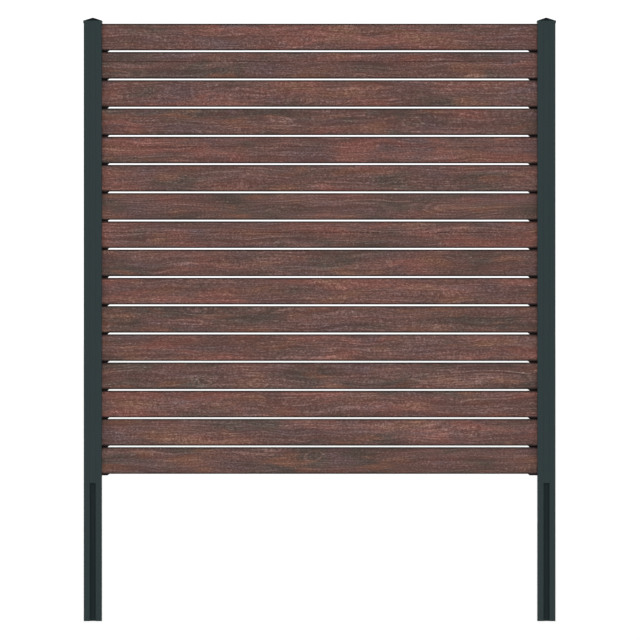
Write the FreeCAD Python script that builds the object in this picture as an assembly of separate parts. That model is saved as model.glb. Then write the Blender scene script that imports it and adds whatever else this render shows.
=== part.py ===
import FreeCAD, Part
import os

# Garden privacy screen: sixteen horizontal wood-look boards stacked in the grooves of two square
# posts. Every piece that can be taken apart is a solid of its own.
#
# Frame, in millimetres: X runs along the boards from the left post to the right one, Y from the
# front to the back, Z up. The origin lies midway between the feet of the two posts.

# ---- Driving dimensions ----

# Field of boards, counted from the lowest one up
SLAT_COUNT = 16
SLAT_LENGTH = 1780.0
SLAT_HEIGHT = 107.0
SLAT_THICKNESS = 21.0
SLAT_EDGE_RADIUS = 3.0
SLAT_CHAMBERS = 4
SLAT_FACE_WALL = 5.0
SLAT_RIB = 5.2
SLAT_CHAMBER_RADIUS = 2.0
GAP_HEIGHT = 6.0
FIELD_BOTTOM = 588.5

# Posts: square extrusions with one groove in each side
POST_SPACING = 1815.0
POST_LENGTH = 2400.0
POST_SIDE = 72.0
POST_CORNER_RADIUS = 1.2
POST_WALL = 2.0
GROOVE_WIDTH = 24.0
GROOVE_DEPTH = 22.0

# Catch for the cover strips: a shallow notch in both walls of every groove
NOTCH_DEPTH = 0.8
NOTCH_START = 8.0
NOTCH_END = 11.5

# Cover strips that close the unused grooves above the ground
STRIP_FOOT = 552.5
STRIP_SIDE_PLAY = 0.25
STRIP_PLATE = 2.0
STRIP_LEG = 1.6
STRIP_LEG_DEPTH = 12.5
STRIP_BARB = 0.75
STRIP_BARB_PLAY = 0.25

# Spacers between the boards, the same piece at both posts
SPACER_LENGTH = 51.5
SPACER_SLANT = 7.0
SPACER_WIDTH = 20.0
SPACER_ROOT_CHAMFER = 1.5
LEFT_SPACER_SEAT = 21.5
RIGHT_SPACER_SEAT = 13.5

# Post caps: a low pyramid over a skirt, with four hollow pegs in the corner tubes
CAP_SIDE = 76.5
CAP_PLAY = 0.25
CAP_CORNER_RADIUS = 2.5
CAP_LAP = 7.0
CAP_PLATE = 2.0
CAP_RISE = 13.0
CAP_TIP_SIDE = 3.0
CAP_EAVE_RADIUS = 1.5
PEG_PLAY = 0.2
PEG_DEPTH = 16.0
PEG_WALL = 2.0
PEG_CORNER_RADIUS = 1.5

# Angle bracket in the inner groove of each post, which carries the stack of boards
BRACKET_WIDTH = 22.0
BRACKET_THICKNESS = 3.0
BRACKET_HEIGHT = 45.0
BRACKET_REACH = 20.5
BRACKET_BEND_RADIUS = 2.5

# Self-drilling screws that hold the brackets
SCREW_RADIUS = 2.1
SCREW_HOLE_PLAY = 0.05
SCREW_LENGTH = 16.0
SCREW_TIP_LENGTH = 4.0
SCREW_HEAD_RADIUS = 4.6
SCREW_HEAD_HEIGHT = 3.0
SCREW_HEAD_ROUNDING = 1.8
SCREW_RECESS_LENGTH = 5.0
SCREW_RECESS_WIDTH = 1.1
SCREW_RECESS_DEPTH = 1.5
SCREW_DROPS = (17.0, 33.0)

# ---- Places worked out from them ----

LEFT = -1
RIGHT = 1
SIDE_NAMES = {LEFT: "left", RIGHT: "right"}
SPACER_SEATS = {LEFT: LEFT_SPACER_SEAT, RIGHT: RIGHT_SPACER_SEAT}

PITCH = SLAT_HEIGHT + GAP_HEIGHT
HALF_SPACING = POST_SPACING / 2
HALF_SIDE = POST_SIDE / 2
HALF_GROOVE = GROOVE_WIDTH / 2
GROOVE_FLOOR = HALF_SIDE - GROOVE_DEPTH
CORE_SIDE = 2 * (GROOVE_FLOOR - POST_WALL)
TUBE_SIDE = HALF_SIDE - HALF_GROOVE - 2 * POST_WALL
TUBE_CENTRE = HALF_SIDE - POST_WALL - TUBE_SIDE / 2
STACK_SEAT = FIELD_BOTTOM - GAP_HEIGHT
CAP_BOTTOM = POST_LENGTH - CAP_LAP
CAP_EAVE = POST_LENGTH + CAP_PLATE

X_AXIS = FreeCAD.Vector(1, 0, 0)
Y_AXIS = FreeCAD.Vector(0, 1, 0)
Z_AXIS = FreeCAD.Vector(0, 0, 1)
ORIGIN = FreeCAD.Vector(0, 0, 0)
QUARTER_TURN = 90.0


def slat_bottom(number):
    """Height of the underside of a board, where number 1 is the lowest."""
    return FIELD_BOTTOM + (number - 1) * PITCH


def inward(side, reach, y, z):
    """A point at this reach from a post's axis towards the boards."""
    return FreeCAD.Vector(side * (HALF_SPACING - reach), y, z)


# ---- Outlines ----


def polygon(points):
    """Closed wire through the points."""
    return Part.makePolygon(list(points) + [points[0]])


def rounded_rectangle(centre, across, up, width, height, radius):
    """Closed rectangle with round corners, in the plane of the directions across and up."""
    inset = 1 - 0.5 ** 0.5
    corners = [(1, -1), (1, 1), (-1, 1), (-1, -1)]
    steps = [(0, 1), (-1, 0), (0, -1), (1, 0)]
    edges = []
    starts = []
    ends = []
    for (u, v), (du, dv) in zip(corners, steps):
        corner = centre + across * (u * width / 2) + up * (v * height / 2)
        before = corner - across * (u * radius * abs(dv)) - up * (v * radius * abs(du))
        after = corner + across * (du * radius) + up * (dv * radius)
        middle = corner - across * (u * radius * inset) - up * (v * radius * inset)
        edges.append(Part.Arc(before, middle, after).toShape())
        starts.append(before)
        ends.append(after)
    for end, start in zip(ends, starts[1:] + starts[:1]):
        edges.append(Part.makeLine(end, start))
    return Part.Wire(Part.__sortEdges__(edges))


def face_with_holes(outer, holes):
    """Flat face inside the outer wire and outside the others."""
    return Part.makeFace([outer] + holes, "Part::FaceMakerBullseye")


# ---- Posts ----


def post_side_points():
    """Front side of the post's outline, from its left corner arc to its right one."""
    left_half = [
        (-HALF_SIDE + POST_CORNER_RADIUS, 0.0),
        (-HALF_GROOVE, 0.0),
        (-HALF_GROOVE, NOTCH_START),
        (-HALF_GROOVE - NOTCH_DEPTH, NOTCH_START + NOTCH_DEPTH),
        (-HALF_GROOVE - NOTCH_DEPTH, NOTCH_END - NOTCH_DEPTH),
        (-HALF_GROOVE, NOTCH_END),
        (-HALF_GROOVE, GROOVE_DEPTH),
    ]
    right_half = [(-x, depth) for x, depth in reversed(left_half)]
    return [FreeCAD.Vector(x, depth - HALF_SIDE, 0) for x, depth in left_half + right_half]


def post_outline():
    """Outer wire of the post: four grooved sides joined by corner arcs."""
    points = post_side_points()
    side = [Part.makeLine(a, b) for a, b in zip(points, points[1:])]
    inset = POST_CORNER_RADIUS * (1 - 0.5 ** 0.5)
    arc_start = points[-1]
    arc_middle = FreeCAD.Vector(HALF_SIDE - inset, -HALF_SIDE + inset, 0)
    arc_end = FreeCAD.Vector(HALF_SIDE, -HALF_SIDE + POST_CORNER_RADIUS, 0)
    side.append(Part.Arc(arc_start, arc_middle, arc_end).toShape())
    edges = []
    for turn in range(4):
        for edge in side:
            turned = edge.copy()
            turned.rotate(ORIGIN, Z_AXIS, turn * QUARTER_TURN)
            edges.append(turned)
    return Part.Wire(Part.__sortEdges__(edges))


def square_hole(x, y, size):
    """Square wire of this size about a point of the post's section."""
    half = size / 2
    corners = [(-half, -half), (half, -half), (half, half), (-half, half)]
    return polygon([FreeCAD.Vector(x + u, y + v, 0) for u, v in corners])


def screw_heights():
    """Heights of the two screws of a bracket."""
    return [STACK_SEAT - drop for drop in SCREW_DROPS]


def post(side):
    """Post with a core tube, four corner tubes and the screw holes of its bracket."""
    holes = [square_hole(0, 0, CORE_SIDE)]
    for x in (-TUBE_CENTRE, TUBE_CENTRE):
        for y in (-TUBE_CENTRE, TUBE_CENTRE):
            holes.append(square_hole(x, y, TUBE_SIDE))
    section = face_with_holes(post_outline(), holes)
    solid = section.extrude(Z_AXIS * POST_LENGTH)
    solid.translate(X_AXIS * (side * HALF_SPACING))
    for z in screw_heights():
        start = inward(side, GROOVE_FLOOR - 2 * POST_WALL, 0, z)
        drill = Part.makeCylinder(
            SCREW_RADIUS + SCREW_HOLE_PLAY, 4 * POST_WALL, start, X_AXIS * -side
        )
        solid = solid.cut(drill)
    return solid


def cover_strip(side, turn):
    """Channel that snaps into a groove, its plate flush with the side of the post."""
    plate_half = HALF_GROOVE - STRIP_SIDE_PLAY
    barb_half = plate_half + STRIP_BARB
    barb_start = NOTCH_START + STRIP_BARB_PLAY
    barb_end = NOTCH_END - STRIP_BARB_PLAY
    right_half = [
        (plate_half, 0.0),
        (plate_half, barb_start),
        (barb_half, barb_start + STRIP_BARB),
        (barb_half, barb_end - STRIP_BARB),
        (plate_half, barb_end),
        (plate_half, STRIP_LEG_DEPTH),
        (plate_half - STRIP_LEG, STRIP_LEG_DEPTH),
        (plate_half - STRIP_LEG, STRIP_PLATE),
    ]
    left_half = [(-x, depth) for x, depth in reversed(right_half)]
    points = [
        FreeCAD.Vector(x, depth - HALF_SIDE, STRIP_FOOT) for x, depth in right_half + left_half
    ]
    solid = Part.Face(polygon(points)).extrude(Z_AXIS * (POST_LENGTH - STRIP_FOOT))
    solid.rotate(ORIGIN, Z_AXIS, turn * QUARTER_TURN)
    solid.translate(X_AXIS * (side * HALF_SPACING))
    return solid


# ---- Post caps ----


def cap_level(side_length, radius, z):
    """Outline of the cap at one height."""
    centre = Z_AXIS * z
    return rounded_rectangle(centre, X_AXIS, Y_AXIS, side_length, side_length, radius)


def cap_block(side_length, radius, bottom, top):
    """Upright square block with round corners about the cap's axis."""
    face = Part.Face(cap_level(side_length, radius, bottom))
    return face.extrude(Z_AXIS * (top - bottom))


def cap_peg(x, y):
    """Hollow square peg under the cap, which grips inside one corner tube."""
    outer_side = TUBE_SIDE - 2 * PEG_PLAY
    inner_side = outer_side - 2 * PEG_WALL
    peg = cap_block(outer_side, PEG_CORNER_RADIUS, POST_LENGTH - PEG_DEPTH, POST_LENGTH)
    bore = cap_block(inner_side, PEG_CORNER_RADIUS / 2, POST_LENGTH - PEG_DEPTH, POST_LENGTH)
    peg = peg.cut(bore)
    peg.translate(FreeCAD.Vector(x, y, 0))
    return peg


def post_cap(side):
    """Pyramid cap, set over the top end of a post."""
    skirt = cap_block(CAP_SIDE, CAP_CORNER_RADIUS, CAP_BOTTOM, CAP_EAVE)
    eave = cap_level(CAP_SIDE, CAP_CORNER_RADIUS, CAP_EAVE)
    tip = cap_level(CAP_TIP_SIDE, CAP_TIP_SIDE / 4, CAP_EAVE + CAP_RISE)
    roof = Part.makeLoft([eave, tip], True, True)
    body = skirt.fuse(roof).removeSplitter()
    rim = [e for e in body.Edges if abs(e.BoundBox.ZMin - CAP_EAVE) + e.BoundBox.ZLength < 0.001]
    body = body.makeFillet(CAP_EAVE_RADIUS, rim)
    inner_side = POST_SIDE + 2 * CAP_PLAY
    socket = cap_block(inner_side, POST_CORNER_RADIUS, CAP_BOTTOM - 1, POST_LENGTH)
    body = body.cut(socket)
    for x in (-TUBE_CENTRE, TUBE_CENTRE):
        for y in (-TUBE_CENTRE, TUBE_CENTRE):
            body = body.fuse(cap_peg(x, y))
    body = body.removeSplitter()
    body.translate(X_AXIS * (side * HALF_SPACING))
    return body


# ---- Boards and spacers ----


def slat(number):
    """Hollow board with rounded edges; both ends stand in the grooves of the posts."""
    start = FreeCAD.Vector(-SLAT_LENGTH / 2, 0, slat_bottom(number) + SLAT_HEIGHT / 2)
    outer = rounded_rectangle(
        start, Y_AXIS, Z_AXIS, SLAT_THICKNESS, SLAT_HEIGHT, SLAT_EDGE_RADIUS
    )
    chamber_width = SLAT_THICKNESS - 2 * SLAT_FACE_WALL
    chamber_height = (SLAT_HEIGHT - (SLAT_CHAMBERS + 1) * SLAT_RIB) / SLAT_CHAMBERS
    chambers = []
    for index in range(SLAT_CHAMBERS):
        offset = (index - (SLAT_CHAMBERS - 1) / 2) * (chamber_height + SLAT_RIB)
        centre = start + Z_AXIS * offset
        chambers.append(
            rounded_rectangle(
                centre, Y_AXIS, Z_AXIS, chamber_width, chamber_height, SLAT_CHAMBER_RADIUS
            )
        )
    return face_with_holes(outer, chambers).extrude(X_AXIS * SLAT_LENGTH)


def spacer(side, number):
    """Spacer under a board: one end in the groove, the other slanted and in view."""
    root = HALF_SIDE - SPACER_SEATS[side]
    bottom = slat_bottom(number) - GAP_HEIGHT
    top = bottom + GAP_HEIGHT
    back = -SPACER_WIDTH / 2
    outline = [
        inward(side, root, back, bottom + SPACER_ROOT_CHAMFER),
        inward(side, root + SPACER_ROOT_CHAMFER, back, bottom),
        inward(side, root + SPACER_LENGTH - SPACER_SLANT, back, bottom),
        inward(side, root + SPACER_LENGTH, back, top),
        inward(side, root + SPACER_ROOT_CHAMFER, back, top),
        inward(side, root, back, top - SPACER_ROOT_CHAMFER),
    ]
    return Part.Face(polygon(outline)).extrude(Y_AXIS * SPACER_WIDTH)


# ---- Brackets under the stack ----


def stack_bracket(side):
    """Angle bracket: one leg on the floor of the groove, the other a shelf for the stack."""
    back = -BRACKET_WIDTH / 2
    bend = BRACKET_BEND_RADIUS
    leg_face = GROOVE_FLOOR + BRACKET_THICKNESS
    shelf_under = STACK_SEAT - BRACKET_THICKNESS
    foot = STACK_SEAT - BRACKET_HEIGHT
    tip = GROOVE_FLOOR + BRACKET_REACH
    inset = bend * (1 - 0.5 ** 0.5)
    bend_low = inward(side, leg_face, back, shelf_under - bend)
    bend_middle = inward(side, leg_face + inset, back, shelf_under - inset)
    bend_high = inward(side, leg_face + bend, back, shelf_under)
    straight = [
        bend_high,
        inward(side, tip, back, shelf_under),
        inward(side, tip, back, STACK_SEAT),
        inward(side, GROOVE_FLOOR, back, STACK_SEAT),
        inward(side, GROOVE_FLOOR, back, foot),
        inward(side, leg_face, back, foot),
        bend_low,
    ]
    edges = [Part.makeLine(a, b) for a, b in zip(straight, straight[1:])]
    edges.append(Part.Arc(bend_low, bend_middle, bend_high).toShape())
    solid = Part.Face(Part.Wire(Part.__sortEdges__(edges))).extrude(Y_AXIS * BRACKET_WIDTH)
    for z in screw_heights():
        start = inward(side, GROOVE_FLOOR - 1, 0, z)
        drill = Part.makeCylinder(
            SCREW_RADIUS + SCREW_HOLE_PLAY, BRACKET_THICKNESS + 2, start, X_AXIS * -side
        )
        solid = solid.cut(drill)
    return solid


def bracket_screw(side, z):
    """Pan-head screw through the bracket and the floor of the groove."""
    seat = inward(side, GROOVE_FLOOR + BRACKET_THICKNESS, 0, z)
    towards_boards = X_AXIS * -side
    into_post = X_AXIS * side
    shank_length = SCREW_LENGTH - SCREW_TIP_LENGTH
    shank = Part.makeCylinder(SCREW_RADIUS, shank_length, seat, into_post)
    point = Part.makeCone(
        SCREW_RADIUS, 0, SCREW_TIP_LENGTH, seat + into_post * shank_length, into_post
    )
    head = Part.makeCylinder(SCREW_HEAD_RADIUS, SCREW_HEAD_HEIGHT, seat, towards_boards)
    crown = seat + towards_boards * SCREW_HEAD_HEIGHT
    rim = [e for e in head.Edges if abs(e.BoundBox.XMin - crown.x) + e.BoundBox.XLength < 0.001]
    head = head.makeFillet(SCREW_HEAD_ROUNDING, rim)
    for length, width in (
        (SCREW_RECESS_LENGTH, SCREW_RECESS_WIDTH),
        (SCREW_RECESS_WIDTH, SCREW_RECESS_LENGTH),
    ):
        slot = Part.makeBox(2 * SCREW_RECESS_DEPTH, length, width)
        slot.translate(crown - FreeCAD.Vector(SCREW_RECESS_DEPTH, length / 2, width / 2))
        head = head.cut(slot)
    return shank.fuse(point).fuse(head).removeSplitter()


# ---- The assembly ----


def groove_strips(side):
    """Cover strips of one post, by the side of the post that each one closes."""
    name = SIDE_NAMES[side]
    return {
        f"{name}_front_cover_strip": cover_strip(side, 0),
        f"{name}_back_cover_strip": cover_strip(side, 2),
        f"{name}_outer_cover_strip": cover_strip(side, side),
    }


def build():
    """Every piece by the name of its node."""
    pieces = {}
    for side in (LEFT, RIGHT):
        name = SIDE_NAMES[side]
        pieces[f"{name}_post"] = post(side)
        pieces[f"{name}_post_cap"] = post_cap(side)
        pieces.update(groove_strips(side))
        for number in range(1, SLAT_COUNT + 1):
            pieces[f"{name}_spacer_{number:02d}"] = spacer(side, number)
    for number in range(1, SLAT_COUNT + 1):
        pieces[f"slat_{number:02d}"] = slat(number)
    pieces["stack_brackets"] = Part.makeCompound([stack_bracket(s) for s in (LEFT, RIGHT)])
    pieces["stack_bracket_screws"] = Part.makeCompound(
        [bracket_screw(s, z) for s in (LEFT, RIGHT) for z in screw_heights()]
    )
    return pieces


def main():
    """Write one STEP file for each piece."""
    os.makedirs("parts", exist_ok=True)
    for name, shape in build().items():
        shape.exportStep(f"parts/{name}.step")


if __name__ == "__main__":
    main()
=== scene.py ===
import math
import random
from collections import namedtuple

import bpy
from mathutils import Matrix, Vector


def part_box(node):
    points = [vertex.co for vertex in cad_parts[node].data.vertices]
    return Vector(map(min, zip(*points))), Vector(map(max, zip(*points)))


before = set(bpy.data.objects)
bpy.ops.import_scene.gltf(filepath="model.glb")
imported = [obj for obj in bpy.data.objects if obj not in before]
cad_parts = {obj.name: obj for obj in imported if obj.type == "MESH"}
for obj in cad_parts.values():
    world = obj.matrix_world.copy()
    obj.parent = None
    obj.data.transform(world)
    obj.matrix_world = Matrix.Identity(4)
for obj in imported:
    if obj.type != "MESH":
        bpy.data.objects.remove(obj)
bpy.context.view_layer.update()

# Looks of the garden privacy screen: wood-look boards in anthracite grooved posts. Lengths are in
# metres, colours are sRGB from 0 to 255 and turned into Blender's linear values by rgb(). Patterns
# are given in cycles per metre along x, y and z: along the boards, through them and up.

# ---- Names and sizes read from the frame ----

SLATS = sorted(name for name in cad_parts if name.startswith("slat_"))
SPACERS = sorted(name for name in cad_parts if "_spacer_" in name)
STRIPS = sorted(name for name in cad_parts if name.endswith("cover_strip"))
POSTS = ("left_post", "right_post")
CAPS = ("left_post_cap", "right_post_cap")

BOARD_LOW, BOARD_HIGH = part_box(SLATS[0])
BOARD_HALF_DEPTH = (BOARD_HIGH.y - BOARD_LOW.y) / 2
BOARD_HALF_HEIGHT = (BOARD_HIGH.z - BOARD_LOW.z) / 2

POST_LOW, POST_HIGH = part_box("right_post")
POST_AXIS = (POST_LOW.x + POST_HIGH.x) / 2
POST_HALF_SIDE = (POST_HIGH.x - POST_LOW.x) / 2
POST_TOP = POST_HIGH.z

# ---- Camera: straight at the front, from far away through a long lens ----

VIEW_HEIGHT = 2.562
VIEW_CENTRE = Vector((0.0016, 0.0, 1.2045))
LENS_MM = 500.0
SENSOR_MM = 36.0
CLIP_START = 0.1

# ---- Light and floor ----

# The world's brightness to the camera, and as light near the horizon and overhead
BACKGROUND = 1.15
AMBIENT_LEVEL = 0.62
AMBIENT_OVERHEAD = 0.03

# Sine of the elevation at which the world's light starts to fade, and at which it is at its least
FADE_START = 0.05
FADE_END = 0.75

KEY_STRENGTH = 0.85
BACK_STRENGTH = 0.7
SUN_ANGLE = math.radians(28)

# How far up and to the side each sun stands for every metre to the front or back
SUN_RISE = 0.06
SUN_SPREAD = 0.22

FLOOR_RADIUS = 400.0
FLOOR_SIDES = 96
FLOOR_COLOUR = (246, 246, 245)
FLOOR_GLOW = 0.9


# ---- Node trees ----


def rgb(red, green, blue):
    """Linear colour with alpha from sRGB values between 0 and 255."""
    def straight(value):
        value /= 255
        return value / 12.92 if value <= 0.04045 else ((value + 0.055) / 1.055) ** 2.4
    return (straight(red), straight(green), straight(blue), 1.0)


def even(value):
    """The same value for every axis or every colour channel."""
    return (value, value, value)


class Tree:
    """Short calls that add linked nodes to a material, a node group or the world."""

    def __init__(self, nodes, links):
        self.nodes = nodes
        self.links = links

    def feed(self, socket, value):
        """Link the socket if the value is an output, or else set it."""
        if isinstance(value, bpy.types.NodeSocket):
            self.links.new(value, socket)
        elif value is not None:
            socket.default_value = value

    def add(self, kind, inputs=None, **settings):
        """A node with its settings and its inputs by name or number."""
        node = self.nodes.new(kind)
        for name, value in settings.items():
            setattr(node, name, value)
        for name, value in (inputs or {}).items():
            self.feed(node.inputs[name], value)
        return node

    def math(self, operation, a, b=None, c=None):
        """Arithmetic on numbers."""
        node = self.add("ShaderNodeMath", operation=operation)
        for socket, value in zip(node.inputs, (a, b, c)):
            self.feed(socket, value)
        return node.outputs[0]

    def total(self, start, *terms):
        """The start plus each value times its weight."""
        for value, weight in terms:
            start = self.math("MULTIPLY_ADD", value, weight, start)
        return start

    def vector(self, operation, a, b=None, c=None, out="Vector"):
        """Arithmetic on vectors and colours."""
        node = self.add("ShaderNodeVectorMath", operation=operation)
        for socket, value in zip(node.inputs, (a, b, c)):
            self.feed(socket, value)
        return node.outputs[out]

    def scale(self, colour, factor):
        """An sRGB colour made lighter or darker by a factor."""
        inputs = {0: rgb(*colour)[:3], "Scale": factor}
        return self.add("ShaderNodeVectorMath", inputs, operation="SCALE").outputs[0]

    def join(self, x, y, z):
        return self.add("ShaderNodeCombineXYZ", {0: x, 1: y, 2: z}).outputs[0]

    def split(self, vector):
        return self.add("ShaderNodeSeparateXYZ", {0: vector}).outputs

    def place(self):
        """The point of the surface, in the frame's own metres."""
        return self.add("ShaderNodeTexCoord").outputs["Object"]

    def noise(self, at, cycles, detail=2.0, roughness=0.5):
        """Noise about 0 with so many cycles per metre along each axis."""
        inputs = {
            "Vector": self.vector("MULTIPLY", at, cycles),
            "Scale": 1.0,
            "Detail": detail,
            "Roughness": roughness,
        }
        return self.math("SUBTRACT", self.add("ShaderNodeTexNoise", inputs).outputs["Fac"], 0.5)

    def cells(self, at, cycles):
        """Cells round scattered centres: the stretched place and the cells' node."""
        stretched = self.vector("MULTIPLY", at, cycles)
        return stretched, self.add("ShaderNodeTexVoronoi", {"Vector": stretched, "Scale": 1.0})

    def step(self, value, low, high, to_low=0.0, to_high=1.0):
        """Smooth change from one value to another between two limits."""
        inputs = {
            "Value": value,
            "From Min": low,
            "From Max": high,
            "To Min": to_low,
            "To Max": to_high,
        }
        node = self.add("ShaderNodeMapRange", inputs, interpolation_type="SMOOTHSTEP")
        return node.outputs["Result"]

    def mix(self, factor, a, b):
        """Mix of two colours."""
        node = self.add("ShaderNodeMix", data_type="RGBA")
        colours = [socket for socket in node.inputs if socket.type == "RGBA"]
        self.feed(node.inputs[0], factor)
        self.feed(colours[0], a)
        self.feed(colours[1], b)
        return [socket for socket in node.outputs if socket.type == "RGBA"][0]

    def bump(self, height, distance, strength):
        """Normal of a relief that is this distance high."""
        inputs = {"Height": height, "Distance": distance, "Strength": strength}
        return self.add("ShaderNodeBump", inputs).outputs[0]


def material(name, **fixed):
    """A material with a Principled shader whose uniform values are set on its own sockets."""
    made = bpy.data.materials.new(name)
    made.use_nodes = True
    tree = Tree(made.node_tree.nodes, made.node_tree.links)
    shader = made.node_tree.nodes["Principled BSDF"]
    for socket, value in fixed.items():
        shader.inputs[socket.replace("_", " ")].default_value = value
    return made, tree, shader


def link_surface(tree, shader, colour, roughness, normal):
    """Link what varies over the surface to the shader."""
    tree.feed(shader.inputs["Base Color"], colour)
    tree.feed(shader.inputs["Roughness"], roughness)
    tree.feed(shader.inputs["Normal"], normal)


def group(name, inputs, outputs):
    """An empty node group with these sockets: itself, its tree, its input and its output node."""
    made = bpy.data.node_groups.new(name, "ShaderNodeTree")
    for label, kind in inputs.items():
        made.interface.new_socket(label, in_out="INPUT", socket_type=kind)
    for label, kind in outputs.items():
        made.interface.new_socket(label, in_out="OUTPUT", socket_type=kind)
    tree = Tree(made.nodes, made.links)
    return made, tree, tree.add("NodeGroupInput"), tree.add("NodeGroupOutput")


def wear(names, made):
    """Give the CAD nodes one material."""
    for name in names:
        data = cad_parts[name].data
        data.materials.clear()
        data.materials.append(made)


# ---- Boards: wood-look film on a composite core ----

WOOD_BASE = (99, 70, 64)
WOOD_RED = (116, 73, 65)
WOOD_GREEN = (80, 65, 59)
WOOD_PURPLE = (93, 69, 68)
WOOD_ORANGE = (112, 76, 62)
WOOD_LINE = (132, 96, 85)
CORE_COLOUR = (74, 56, 50)

# How far each colour channel follows the tone: light fibres are paler than dark ones
TONE_SHARE = (0.78, 1.1, 1.2)

# The boards that are redder and lighter than the rest, those in between and the least red one,
# counted from the ground. Their warmth is 1, 0 and the value below, and that of the rest is -1. The
# warmer a board is, the less figure it has
WARM_BOARDS = (3, 5, 7, 9, 12, 14, 16)
MIDDLE_BOARDS = (2, 11)
DARKEST_BOARD = 1
DARKEST_WARMTH = -1.8
WARMTH_STEP = 0.045
FIGURE_MIDDLE = 0.7
FIGURE_STEP = 0.3

# Each board is cut from its own place in one large grain, at a random distance in this range along
# every axis. The seed is this number plus the board's
FIRST_SEED = 1000
CUT_RANGE = (5, 60)

# Layers of the grain: the pattern's cycles, detail and roughness, and what the layer adds to the
# tone and to the relief. Tone 0 is wood of the plain colour, and 0.1 is about a tenth lighter
Layer = namedtuple("Layer", "cycles detail roughness tone relief")
BROAD = Layer((2.4, 20.0, 28.0), 2.0, 0.5, 0.4, 0.0)
REDNESS = Layer((3.4, 10.0, 15.0), 3.0, 0.55, 0.3, 0.0)
LONG_STREAK = Layer((1.8, 60.0, 190.0), 2.0, 0.5, 2.0, 0.0)
STREAK = Layer((9.0, 60.0, 230.0), 3.0, 0.6, 1.75, 0.5)
FIBRE = Layer((120.0, 150.0, 240.0), 2.0, 0.7, 3.1, 0.5)
HAIR = Layer((70.0, 700.0, 2000.0), 2.0, 0.6, 1.3, 0.6)
PORE = Layer((75.0, 300.0, 1150.0), 1.0, 0.5, -0.28, -0.5)
GLINT = Layer((60.0, 200.0, 330.0), 1.0, 0.5, 0.22, 0.0)

# Values of the noise between which pores and glints set in
PORE_LIMITS = (0.1, 0.2)
GLINT_LIMITS = (0.08, 0.2)

# How much the hairs part a fibre
HAIRS_IN_FIBRE = 5.0

# Slow waves that bend all the grain lines alike
BEND = 0.06
BEND_CYCLES = (3.6, 4.0, 13.0)

# Growth rings: their width, how far the heart of the stem strays from the board, how much the rings
# wobble, and where they show
RING_WIDTH = 0.0115
HEART_ACROSS = 0.22
HEART_ACROSS_CYCLES = (1.6, 0.0, 0.0)
HEART_UP = 0.12
HEART_UP_CYCLES = (1.7, 1.0, 0.0)
RING_WOBBLE = 0.012
WOBBLE_CYCLES = (14.0, 20.0, 60.0)
RING_AREA_CYCLES = (3.0, 5.0, 14.0)
RING_AREA_LIMITS = (0.05, 0.2)

# Nested ovals round scattered centres: cells per metre, then the distance between two ovals and how
# far they reach, both in widths of a cell
Ovals = namedtuple("Ovals", "cycles spacing reach")
SWIRL = Ovals((4.4, 4.0, 10.0), 0.1, 0.34)
FLAME = Ovals((1.5, 3.0, 9.0), 0.11, 0.4)
OVAL_WOBBLE = 0.2

# Only cells whose random number is past these limits have ovals
OVAL_LIMITS = (0.6, 0.62)

# Distance from the centre at which its dark eye sets in and is full, and width of a flame's cut
EYE_LIMITS = (0.11, 0.03)
FLAME_CUT = 0.12

# Where on the wave, from -1 to 1, a light line starts
LINE_START = -0.2

# What rings, lines, eyes and warmth add to the tone, and how strongly the tone is bent upwards
LINE_TONE = 0.26
RING_AREA_TONE = -0.08
EYE_TONE = -0.25
WARMTH_TONE = 0.4
TONE_CURVE = 0.7

# Hues: values of the noise at which each is full or starts, and the place of the second pattern
RED_FULL = 0.19
ORANGE_START = 0.02
ORANGE_FULL = 0.23
ORANGE_CYCLES = (5.2, 10.0, 20.0)
ORANGE_SHIFT = (3.7, 1.9, 5.3)
LINE_TINT = 0.3

# Height above a board's middle of the thin dark line that runs along some of the boards
SEAMS = {9: 0.0088, 12: 0.0123, 15: 0.0151}
NO_SEAM = 1.0

# Darkness of that line and how much it varies, and its half width where it is full and where gone
SEAM_DARKNESS = 0.8
SEAM_FULL = 0.0005
SEAM_GONE = 0.0013
SEAM_CHANGE = 0.8
SEAM_CYCLES = (12.0, 0.0, 0.0)

# Painted shade on the rounded long edges, and how far from the top or bottom it starts and is full
EDGE_START = 0.0085
EDGE_FULL = 0.003
PAINTED_EDGE_SHADE = 0.22

# Painted shade on the flat top and bottom, and how far from the front and back it gives way to that
# one
PAINTED_FLAT_SHADE = 0.7
FLAT_START = 0.0045
FLAT_END = 0.002

# Depths under the surface at which the bare composite starts to show, and shows alone
BARE_START = 0.0011
BARE_FULL = 0.0013
SPECK_CYCLES = 700.0
SPECK_CONTRAST = 0.5

BOARD_SPECULAR = 0.25
BOARD_ROUGHNESS = 0.66
STREAK_ROUGHNESS = 0.3
PORE_ROUGHNESS = 0.1
BOARD_RELIEF = 0.0012
BOARD_BUMP = 0.6


def light_lines(tree, distance, spacing):
    """Lines at equal distances."""
    wave = tree.math("SINE", tree.math("MULTIPLY", distance, 2 * math.pi / spacing))
    return tree.step(wave, LINE_START, 1.0)


def growth_rings(tree, at, up, wobble):
    """Rings of a stem whose heart wanders along the board, and the areas in which they show."""
    across = tree.math("MULTIPLY", tree.noise(at, HEART_ACROSS_CYCLES, detail=1.0), HEART_ACROSS)
    raised = tree.math("MULTIPLY", tree.noise(at, HEART_UP_CYCLES, detail=1.0), HEART_UP)
    from_heart = tree.join(across, tree.math("ADD", raised, up), 0.0)
    radius = tree.vector("LENGTH", from_heart, out="Value")
    place = tree.math("MULTIPLY_ADD", wobble, RING_WOBBLE, radius)
    area = tree.step(tree.noise(at, RING_AREA_CYCLES, detail=1.0), *RING_AREA_LIMITS)
    return tree.math("MULTIPLY", light_lines(tree, place, RING_WIDTH), area), area


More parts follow.
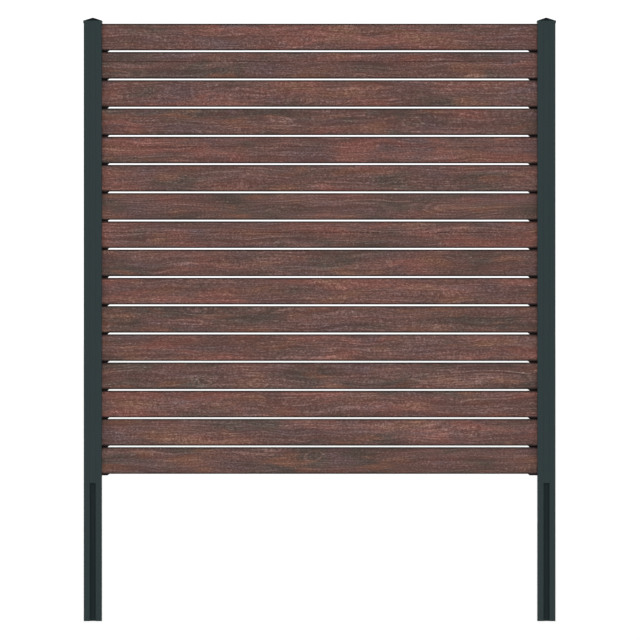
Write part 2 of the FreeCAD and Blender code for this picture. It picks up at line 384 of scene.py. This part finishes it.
def ovals(tree, at, shape, wobble):
    """Nested ovals round some scattered centres: lines, dark eyes, and place along the cell."""
    place, cell = tree.cells(at, shape.cycles)
    distance = tree.math("MULTIPLY_ADD", wobble, OVAL_WOBBLE, cell.outputs["Distance"])
    chosen = tree.step(tree.split(cell.outputs["Color"])[0], *OVAL_LIMITS)
    near = tree.math("MULTIPLY", tree.step(distance, shape.reach, shape.reach / 2), chosen)
    lines = tree.math("MULTIPLY", light_lines(tree, distance, shape.spacing), near)
    eye = tree.math("MULTIPLY", tree.step(distance, *EYE_LIMITS), chosen)
    along = tree.split(tree.vector("SUBTRACT", place, cell.outputs["Position"]))[0]
    return lines, eye, along


def wood_figure(tree, at, bent, up):
    """Light lines of rings, swirls and flames, the areas of the rings, and the eyes of twigs."""
    wobble = tree.noise(at, WOBBLE_CYCLES, detail=3.0)
    lines, area = growth_rings(tree, at, up, wobble)
    swirl, eye, _ = ovals(tree, bent, SWIRL, wobble)

    # flames are long ovals cut in half
    flame, _, along = ovals(tree, bent, FLAME, wobble)
    flame = tree.math("MULTIPLY", flame, tree.step(along, 0.0, FLAME_CUT))
    for more in (swirl, flame):
        lines = tree.math("MAXIMUM", lines, more)
    return lines, area, eye


def seam_darkness(tree, at, up, height):
    """The thin straight line along some boards, darker in some places than in others."""
    distance = tree.math("ABSOLUTE", tree.math("SUBTRACT", up, height))
    darkness = tree.step(distance, SEAM_GONE, SEAM_FULL, 0.0, SEAM_DARKNESS)
    share = tree.math("MULTIPLY_ADD", tree.noise(at, SEAM_CYCLES), SEAM_CHANGE, 1.0)
    return tree.math("MULTIPLY", darkness, share)


def wood_hue(tree, bent, redness, lines):
    """Slow changes of hue between red and green and between orange and purple, and paler lines."""
    orange = tree.noise(tree.vector("ADD", bent, ORANGE_SHIFT), ORANGE_CYCLES)
    colour = tree.mix(tree.step(redness, 0.0, RED_FULL), rgb(*WOOD_BASE), rgb(*WOOD_RED))
    colour = tree.mix(tree.step(redness, 0.0, -RED_FULL), colour, rgb(*WOOD_GREEN))
    colour = tree.mix(tree.step(orange, ORANGE_START, ORANGE_FULL), colour, rgb(*WOOD_ORANGE))
    colour = tree.mix(tree.step(orange, -ORANGE_START, -ORANGE_FULL), colour, rgb(*WOOD_PURPLE))
    return tree.mix(tree.math("MULTIPLY", lines, LINE_TINT), colour, rgb(*WOOD_LINE))


def painted_edge_shade(tree, from_centre, from_middle):
    """Painted shade: the rounded long edges are darkened, and the flat top and bottom a little darker
    than the faces.
    """
    start = BOARD_HALF_HEIGHT - EDGE_START
    full = BOARD_HALF_HEIGHT - EDGE_FULL
    rounded = tree.step(from_middle, start, full, 1.0, PAINTED_EDGE_SHADE)
    outside = tree.step(from_centre, BOARD_HALF_DEPTH - FLAT_START, BOARD_HALF_DEPTH - FLAT_END)
    return tree.mix(outside, (*even(PAINTED_FLAT_SHADE), 1.0), rounded)


def bare_share(tree, from_centre, from_middle):
    """Where the bare composite shows: at the cut ends and in the chambers."""
    shares = [
        tree.step(distance, half - BARE_FULL, half - BARE_START, 1.0, 0.0)
        for distance, half in ((from_centre, BOARD_HALF_DEPTH), (from_middle, BOARD_HALF_HEIGHT))
    ]
    return tree.math("MULTIPLY", *shares)


def board_grain():
    """Colour, relief and roughness of a board's surface, in metres about the board's middle."""
    made, tree, given, result = group(
        "board_grain",
        {
            "Height": "NodeSocketFloat",
            "Shift": "NodeSocketVector",
            "Warmth": "NodeSocketFloat",
            "Figure": "NodeSocketFloat",
            "Seam": "NodeSocketFloat",
        },
        {
            "Color": "NodeSocketColor",
            "Relief": "NodeSocketFloat",
            "Roughness": "NodeSocketFloat",
        },
    )
    x, y, z = tree.split(tree.place())
    up = tree.math("SUBTRACT", z, given.outputs["Height"])
    local = tree.join(x, y, up)
    at = tree.vector("ADD", local, given.outputs["Shift"])
    bend = tree.math("MULTIPLY", tree.noise(at, BEND_CYCLES), BEND)
    bent = tree.vector("ADD", at, tree.join(0.0, 0.0, bend))

    def pattern(layer):
        return tree.noise(bent, layer.cycles, layer.detail, layer.roughness)

    broad = pattern(BROAD)
    long_streak = pattern(LONG_STREAK)
    streak = pattern(STREAK)
    hair = pattern(HAIR)
    redness = tree.math("ADD", pattern(REDNESS), given.outputs["Warmth"])

    # seen from near, the fibres are bundles of hairs
    fibre = tree.math("MULTIPLY", pattern(FIBRE), tree.total(1.0, (hair, HAIRS_IN_FIBRE)))

    # short dark dashes and short light ones
    pore = tree.step(pattern(PORE), *PORE_LIMITS)
    glint = tree.step(pattern(GLINT), *GLINT_LIMITS)

    lines, ring_area, eye = wood_figure(tree, at, bent, up)
    lines = tree.math("MULTIPLY", lines, given.outputs["Figure"])
    eye = tree.math("MULTIPLY", eye, given.outputs["Figure"])

    # redder wood is lighter too
    tone = tree.total(
        0.0,
        (broad, BROAD.tone),
        (redness, REDNESS.tone),
        (long_streak, LONG_STREAK.tone),
        (streak, STREAK.tone),
        (fibre, FIBRE.tone),
        (hair, HAIR.tone),
        (lines, LINE_TONE),
        (ring_area, RING_AREA_TONE),
        (eye, EYE_TONE),
        (pore, PORE.tone),
        (glint, GLINT.tone),
        (given.outputs["Warmth"], WARMTH_TONE),
    )
    tone = tree.total(tone, (tree.math("MULTIPLY", tone, tone), TONE_CURVE))
    tone = tree.math("SUBTRACT", tone, seam_darkness(tree, at, up, given.outputs["Seam"]))

    from_centre = tree.math("ABSOLUTE", y)
    from_middle = tree.math("ABSOLUTE", up)
    paling = tree.vector("MULTIPLY_ADD", TONE_SHARE, tree.join(tone, tone, tone), even(1.0))
    film = tree.vector("MULTIPLY", wood_hue(tree, bent, redness, lines), paling)
    # painted shade darkens the film along the board's long edges and on its top and bottom
    film = tree.vector("MULTIPLY", film, painted_edge_shade(tree, from_centre, from_middle))
    speck = tree.noise(local, even(SPECK_CYCLES))
    core = tree.scale(CORE_COLOUR, tree.total(1.0, (speck, SPECK_CONTRAST)))
    colour = tree.mix(bare_share(tree, from_centre, from_middle), film, core)

    relief = tree.total(
        0.0,
        (streak, STREAK.relief),
        (fibre, FIBRE.relief),
        (hair, HAIR.relief),
        (pore, PORE.relief),
    )
    roughness = tree.total(BOARD_ROUGHNESS, (streak, STREAK_ROUGHNESS), (pore, PORE_ROUGHNESS))
    tree.feed(result.inputs["Color"], colour)
    tree.feed(result.inputs["Relief"], relief)
    tree.feed(result.inputs["Roughness"], roughness)
    return made


def board_warmth(number):
    """How much redder and lighter a board is than those in between."""
    if number in WARM_BOARDS:
        return 1.0
    if number in MIDDLE_BOARDS:
        return 0.0
    return DARKEST_WARMTH if number == DARKEST_BOARD else -1.0


def board_material(name, grain, number):
    """One board's cut from the grain: its own place in it, and its own warmth."""
    low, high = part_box(name)
    draw = random.Random(FIRST_SEED + number)
    shift = [draw.uniform(*CUT_RANGE) for _ in range(3)]
    warmth = board_warmth(number)
    made, tree, shader = material(f"wood_composite_{number:02d}", Specular_IOR_Level=BOARD_SPECULAR)
    inputs = {
        "Height": (low.z + high.z) / 2,
        "Shift": shift,
        "Warmth": WARMTH_STEP * warmth,
        "Figure": FIGURE_MIDDLE - FIGURE_STEP * warmth,
        "Seam": SEAMS.get(number, NO_SEAM),
    }
    cut = tree.add("ShaderNodeGroup", node_tree=grain)
    for label, value in inputs.items():
        cut.inputs[label].default_value = value
    normal = tree.bump(cut.outputs["Relief"], BOARD_RELIEF, BOARD_BUMP)
    link_surface(tree, shader, cut.outputs["Color"], cut.outputs["Roughness"], normal)
    return made


def dress_boards():
    grain = board_grain()
    for number, name in enumerate(SLATS, start=1):
        wear([name], board_material(name, grain, number))


# ---- Posts, cover strips and caps: anthracite powder coat ----

COAT_COLOUR = (32, 47, 49)
COAT_SPECULAR = 0.15
COAT_ROUGHNESS = 0.5

# In the grooves the coat has painted shade and is duller, from just inside the post's faces to this
# deep
GROOVE_START = 0.001
GROOVE_FULL = 0.012
PAINTED_GROOVE_SHADE = -0.2
GROOVE_ROUGHNESS = 0.15

# Slow clouds, the orange peel of the coat and its grains of powder
CLOUD_CYCLES = (5.0, 5.0, 1.5)
CLOUD_LIGHTNESS = 0.14
CLOUD_ROUGHNESS = 0.12
PEEL_CYCLES = 520.0
PEEL_ROUGHNESS = 0.12
GRIT_CYCLES = 2600.0
GRIT_LIGHTNESS = 0.25
GRIT_RELIEF = 0.35
COAT_RELIEF = 0.00025
COAT_BUMP = 0.5


def groove_depth(tree, at):
    """From 0 on the outside of a post and on its cap to 1 deep in its grooves."""
    x, y, z = tree.split(at)
    from_axis = tree.math("SUBTRACT", tree.math("ABSOLUTE", x), POST_AXIS)
    outwards = tree.math("MAXIMUM", tree.math("ABSOLUTE", from_axis), tree.math("ABSOLUTE", y))
    depth = tree.step(outwards, POST_HALF_SIDE - GROOVE_START, POST_HALF_SIDE - GROOVE_FULL)
    return tree.math("MULTIPLY", depth, tree.step(z, POST_TOP, POST_TOP - GROOVE_START))


def powder_coat():
    made, tree, shader = material("anthracite_powder_coat", Specular_IOR_Level=COAT_SPECULAR)
    at = tree.place()
    groove = groove_depth(tree, at)
    cloud = tree.noise(at, CLOUD_CYCLES)
    peel = tree.noise(at, even(PEEL_CYCLES), roughness=0.6)
    grit = tree.noise(at, even(GRIT_CYCLES), detail=1.0)
    # the groove term is painted shade, darker the deeper in the grooves
    lightness = tree.total(
        1.0, (cloud, CLOUD_LIGHTNESS), (grit, GRIT_LIGHTNESS), (groove, PAINTED_GROOVE_SHADE)
    )
    roughness = tree.total(
        COAT_ROUGHNESS, (cloud, CLOUD_ROUGHNESS), (groove, GROOVE_ROUGHNESS), (peel, PEEL_ROUGHNESS)
    )
    normal = tree.bump(tree.total(peel, (grit, GRIT_RELIEF)), COAT_RELIEF, COAT_BUMP)
    link_surface(tree, shader, tree.scale(COAT_COLOUR, lightness), roughness, normal)
    return made


# ---- Small parts ----

# Moulded plastic: fine grain and slow marks of its flow
PLASTIC_COLOUR = (8, 2, 2)
PLASTIC_SPECULAR = 0.05
PLASTIC_ROUGHNESS = 0.55
PLASTIC_RELIEF = 0.0002
PLASTIC_BUMP = 0.5
GRAIN_CYCLES = 900.0
FLOW_CYCLES = (60.0, 60.0, 200.0)
FLOW_LIGHTNESS = 0.5
FLOW_ROUGHNESS = 0.25

# Zinc: spangle, whose facets differ in lightness and gloss, under grey clouds
ZINC_COLOUR = (172, 176, 180)
ZINC_LIGHTNESS = 0.82
ZINC_ROUGHNESS = 0.34
ZINC_RELIEF = 0.0002
ZINC_BUMP = 0.4
SPANGLE_CYCLES = 160.0
SPANGLE_LIGHTNESS = 0.22
SPANGLE_ROUGHNESS = 0.18
TARNISH_CYCLES = 90.0
TARNISH_LIGHTNESS = 0.25

# Stainless steel: brushed along the x axis, with faint stains
STEEL_COLOUR = (190, 190, 192)
STEEL_ROUGHNESS = 0.3
STEEL_RELIEF = 0.00005
STEEL_BUMP = 0.5
BRUSH_CYCLES = (300.0, 2500.0, 2500.0)
BRUSH_ROUGHNESS = 0.2
STAIN_CYCLES = 400.0
STAIN_LIGHTNESS = 0.25


def black_plastic():
    made, tree, shader = material("black_plastic", Specular_IOR_Level=PLASTIC_SPECULAR)
    at = tree.place()
    grain = tree.noise(at, even(GRAIN_CYCLES))
    flow = tree.noise(at, FLOW_CYCLES)
    colour = tree.scale(PLASTIC_COLOUR, tree.total(1.0, (flow, FLOW_LIGHTNESS)))
    roughness = tree.total(PLASTIC_ROUGHNESS, (flow, FLOW_ROUGHNESS))
    link_surface(tree, shader, colour, roughness, tree.bump(grain, PLASTIC_RELIEF, PLASTIC_BUMP))
    return made


def galvanised_steel():
    made, tree, shader = material("galvanised_steel", Metallic=1.0)
    at = tree.place()
    _, spangle = tree.cells(at, even(SPANGLE_CYCLES))
    facet = tree.split(spangle.outputs["Color"])[0]
    tarnish = tree.noise(at, even(TARNISH_CYCLES), detail=3.0)
    lightness = tree.total(ZINC_LIGHTNESS, (facet, SPANGLE_LIGHTNESS), (tarnish, TARNISH_LIGHTNESS))
    roughness = tree.total(ZINC_ROUGHNESS, (facet, SPANGLE_ROUGHNESS))
    normal = tree.bump(tarnish, ZINC_RELIEF, ZINC_BUMP)
    link_surface(tree, shader, tree.scale(ZINC_COLOUR, lightness), roughness, normal)
    return made


def stainless_steel():
    made, tree, shader = material("stainless_steel", Metallic=1.0)
    at = tree.place()
    brush = tree.noise(at, BRUSH_CYCLES)
    stain = tree.noise(at, even(STAIN_CYCLES))
    colour = tree.scale(STEEL_COLOUR, tree.total(1.0, (stain, STAIN_LIGHTNESS)))
    roughness = tree.total(STEEL_ROUGHNESS, (brush, BRUSH_ROUGHNESS))
    link_surface(tree, shader, colour, roughness, tree.bump(brush, STEEL_RELIEF, STEEL_BUMP))
    return made


# ---- Stage: floor, light and camera ----


def add_floor():
    """Wide pale floor, round so that no corner shows at the horizon."""
    turns = [2 * math.pi * side / FLOOR_SIDES for side in range(FLOOR_SIDES)]
    rim = [(FLOOR_RADIUS * math.cos(turn), FLOOR_RADIUS * math.sin(turn), 0.0) for turn in turns]
    data = bpy.data.meshes.new("floor")
    data.from_pydata(rim, [], [range(FLOOR_SIDES)])
    floor = bpy.data.objects.new("floor", data)
    bpy.context.scene.collection.objects.link(floor)
    made, _, shader = material("pale_floor", Roughness=1.0, Specular_IOR_Level=0.0)
    shader.inputs["Base Color"].default_value = rgb(*FLOOR_COLOUR)
    shader.inputs["Emission Color"].default_value = rgb(*FLOOR_COLOUR)
    shader.inputs["Emission Strength"].default_value = FLOOR_GLOW
    data.materials.append(made)


def add_world():
    """White where the camera looks at it. As light it is dimmer, and dimmest overhead."""
    world = bpy.data.worlds.new("studio")
    bpy.context.scene.world = world
    world.use_nodes = True
    world.node_tree.nodes.clear()
    tree = Tree(world.node_tree.nodes, world.node_tree.links)
    seen = tree.add("ShaderNodeLightPath").outputs["Is Camera Ray"]
    elevation = tree.split(tree.add("ShaderNodeTexCoord").outputs["Generated"])[2]
    light = tree.step(elevation, FADE_START, FADE_END, AMBIENT_LEVEL, AMBIENT_OVERHEAD)
    strength = tree.add("ShaderNodeMix", {"Factor": seen, "A": light, "B": BACKGROUND})
    white = (1.0, 1.0, 1.0, 1.0)
    inputs = {"Color": white, "Strength": strength.outputs["Result"]}
    back = tree.add("ShaderNodeBackground", inputs)
    tree.add("ShaderNodeOutputWorld", {"Surface": back.outputs[0]})


def add_sun(name, strength, comes_from):
    """Soft light from far away, from this direction."""
    data = bpy.data.lights.new(name, "SUN")
    data.energy = strength
    data.angle = SUN_ANGLE
    sun = bpy.data.objects.new(name, data)
    bpy.context.scene.collection.objects.link(sun)
    sun.rotation_mode = "QUATERNION"
    sun.rotation_quaternion = Vector(comes_from).to_track_quat("Z", "Y")


def add_suns():
    """Two suns in front and two behind, mirrored about the middle and almost level."""
    for side, across in (("left", -SUN_SPREAD), ("right", SUN_SPREAD)):
        add_sun(f"key_{side}", KEY_STRENGTH, (across, -1.0, SUN_RISE))
        add_sun(f"back_key_{side}", BACK_STRENGTH, (across, 1.0, SUN_RISE))


def add_camera():
    """Long lens, level and square to the boards, as far off as the view's height asks."""
    data = bpy.data.cameras.new("camera")
    data.lens = LENS_MM
    data.sensor_width = SENSOR_MM
    distance = VIEW_HEIGHT * LENS_MM / SENSOR_MM
    camera = bpy.data.objects.new("camera", data)
    bpy.context.scene.collection.objects.link(camera)
    camera.location = VIEW_CENTRE - Vector((0.0, distance, 0.0))
    camera.rotation_euler = (math.radians(90), 0.0, 0.0)
    data.clip_start = CLIP_START
    data.clip_end = 2 * FLOOR_RADIUS
    bpy.context.scene.camera = camera


add_camera()
add_world()
add_floor()
add_suns()
bpy.context.scene.view_settings.view_transform = "Standard"

dress_boards()
wear([*POSTS, *CAPS, *STRIPS], powder_coat())
wear(SPACERS, black_plastic())
wear(["stack_brackets"], galvanised_steel())
wear(["stack_bracket_screws"], stainless_steel())
